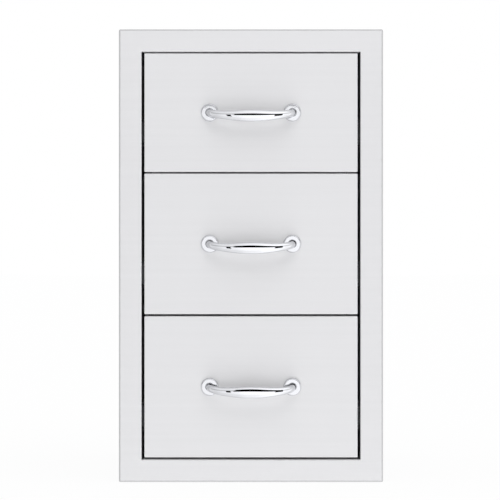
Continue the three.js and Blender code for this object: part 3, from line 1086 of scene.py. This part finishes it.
class UNIT_OT_stage(bpy.types.Operator):
    """Sets up the floor, the soft studio and the camera"""

    bl_idname = "unit.stage"
    bl_label = "Stage"

    def execute(self, context):
        scene = context.scene
        scene.view_settings.view_transform = "Standard"
        self.floor(scene)
        self.flags()
        self.studio(scene)
        self.camera(scene)
        return {"FINISHED"}

    def floor(self, scene):
        """A pale floor that is white to the camera but for shadows; the metal mirrors the world below it."""
        bm = bmesh.new()
        bmesh.ops.create_grid(bm, x_segments=1, y_segments=1, size=FLOOR_REACH)
        floor = placed("studio_floor", bm)
        material, tree = blank("studio_floor")
        matt = add(tree, "ShaderNodeBsdfDiffuse", {"Color": (*scene.unit_colours.floor, 1)}).outputs[0]
        seen = add(tree, "ShaderNodeEmission", {"Color": WHITE, "Strength": 1.0}).outputs[0]
        camera = add(tree, "ShaderNodeLightPath").outputs["Is Camera Ray"]
        white_share = 0.92
        share = maths(tree, "MULTIPLY", camera, white_share)
        mixed = add(tree, "ShaderNodeMixShader", {0: share, 1: matt, 2: seen}).outputs[0]
        add(tree, "ShaderNodeOutputMaterial", {"Surface": mixed})
        material.cycles.emission_sampling = "NONE"
        floor.data.materials.append(material)
        floor.visible_glossy = False
        floor.visible_shadow = False

    def flags(self):
        """Black boards, one overhead in front and one upright at each end of it, that draw the dark line
        along the chrome bows and its heavier ends."""
        bm = bmesh.new()
        board = bm.faces.new([bm.verts.new((x, y, BOARD_TOP)) for x, y in OVERHEAD_BOARD])
        raised = bmesh.ops.extrude_face_region(bm, geom=[board])["geom"]
        bmesh.ops.translate(bm, verts=only(bmesh.types.BMVert, raised), vec=(0, 0, BOARD_THICKNESS))
        for low, high in (LEFT_BOARD, RIGHT_BOARD):
            block(bm, (*low, BOARD_FOOT), (*high, BOARD_TOP))
        outwards(bm)
        flags = placed("studio_flags", bm)
        material, tree = blank("studio_flag")
        black = add(tree, "ShaderNodeBsdfDiffuse", {"Color": BLACK}).outputs[0]
        add(tree, "ShaderNodeOutputMaterial", {"Surface": black})
        flags.data.materials.append(material)
        flags.visible_camera = False
        flags.visible_diffuse = False
        flags.visible_shadow = False

    def studio(self, scene):
        """Soft light from all round that changes with direction in a few gentle steps, and a white
        background behind the object, for the camera and for metal."""
        world = bpy.data.worlds.new("studio")
        world.use_nodes = True
        tree = world.node_tree
        tree.nodes.clear()
        way = add(tree, "ShaderNodeTexCoord").outputs["Generated"]
        parts = split(tree, way)
        strength = 1.0
        for part, start, end, share in LIGHT_STEPS:
            factor = mapped(tree, parts[part], start, end, 1.0, share)
            strength = maths(tree, "MULTIPLY", strength, factor)
        behind = maths(tree, "GREATER_THAN", parts["Y"])
        strength = add(tree, "ShaderNodeMix", {0: behind, 2: strength, 3: 1.0}).outputs[0]
        light = add(tree, "ShaderNodeBackground", {"Color": LIGHT_COLOUR, "Strength": strength}).outputs[0]
        shown = add(tree, "ShaderNodeBackground", {"Color": WHITE, "Strength": 1.0}).outputs[0]
        paths = add(tree, "ShaderNodeLightPath").outputs
        mirrored = maths(tree, "MAXIMUM", paths["Is Glossy Ray"], paths["Is Transmission Ray"])
        behind = maths(tree, "MULTIPLY", behind, mirrored)
        white = maths(tree, "MAXIMUM", paths["Is Camera Ray"], behind)
        mixed = add(tree, "ShaderNodeMixShader", {0: white, 1: light, 2: shown}).outputs[0]
        add(tree, "ShaderNodeOutputWorld", {"Surface": mixed})
        scene.world = world

    def camera(self, scene):
        """A long lens square on to the face, which leaves the verticals upright."""
        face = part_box("face_frame")[0].y
        lens = bpy.data.cameras.new("camera")
        lens.sensor_width = SENSOR_MM
        lens.lens = FOCAL_MM
        camera = bpy.data.objects.new("camera", lens)
        scene.collection.objects.link(camera)
        camera.location = (CAMERA_SIDESTEP, face - CAMERA_DISTANCE, CAMERA_HEIGHT)
        camera.rotation_euler = (math.radians(90), 0, 0)
        scene.camera = camera


PIECES = (
    UNIT_OT_face_frame, UNIT_OT_front_skins, UNIT_OT_front_liners, UNIT_OT_box_tubs, UNIT_OT_box_backs,
    UNIT_OT_cabinet, UNIT_OT_slides, UNIT_OT_handles, UNIT_OT_rosettes, UNIT_OT_handle_screws,
    UNIT_OT_rivets, UNIT_OT_stage,
)
SETTINGS = {
    "unit_sheets": SheetSizes,
    "unit_handle": HandleSizes,
    "unit_slides": SlideSizes,
    "unit_colours": FinishColours,
}


class UNIT_PT_panel(bpy.types.Panel):
    """Lists the settings and the pieces of the drawer unit"""

    bl_idname = "UNIT_PT_panel"
    bl_label = "Drawer unit"
    bl_space_type = "VIEW_3D"
    bl_region_type = "UI"
    bl_category = "Drawer unit"

    def draw(self, context):
        for name, group in SETTINGS.items():
            column = self.layout.column(heading=group.__doc__)
            for setting in group.__annotations__:
                column.prop(getattr(context.scene, name), setting)
        for piece in PIECES:
            self.layout.operator(piece.bl_idname)


CLASSES = (*SETTINGS.values(), *PIECES, UNIT_PT_panel)


def register():
    for kind in CLASSES:
        bpy.utils.register_class(kind)
    for name, group in SETTINGS.items():
        setattr(bpy.types.Scene, name, PointerProperty(type=group))


def unregister():
    for name in SETTINGS:
        delattr(bpy.types.Scene, name)
    for kind in reversed(CLASSES):
        bpy.utils.unregister_class(kind)


def main():
    register()
    bpy.ops.unit.face_frame()
    bpy.ops.unit.front_skins()
    bpy.ops.unit.front_liners()
    bpy.ops.unit.box_tubs()
    bpy.ops.unit.box_backs()
    bpy.ops.unit.cabinet()
    bpy.ops.unit.slides()
    bpy.ops.unit.handles()
    bpy.ops.unit.rosettes()
    bpy.ops.unit.handle_screws()
    bpy.ops.unit.rivets()
    bpy.ops.unit.stage()


if __name__ == "__main__":
    main()
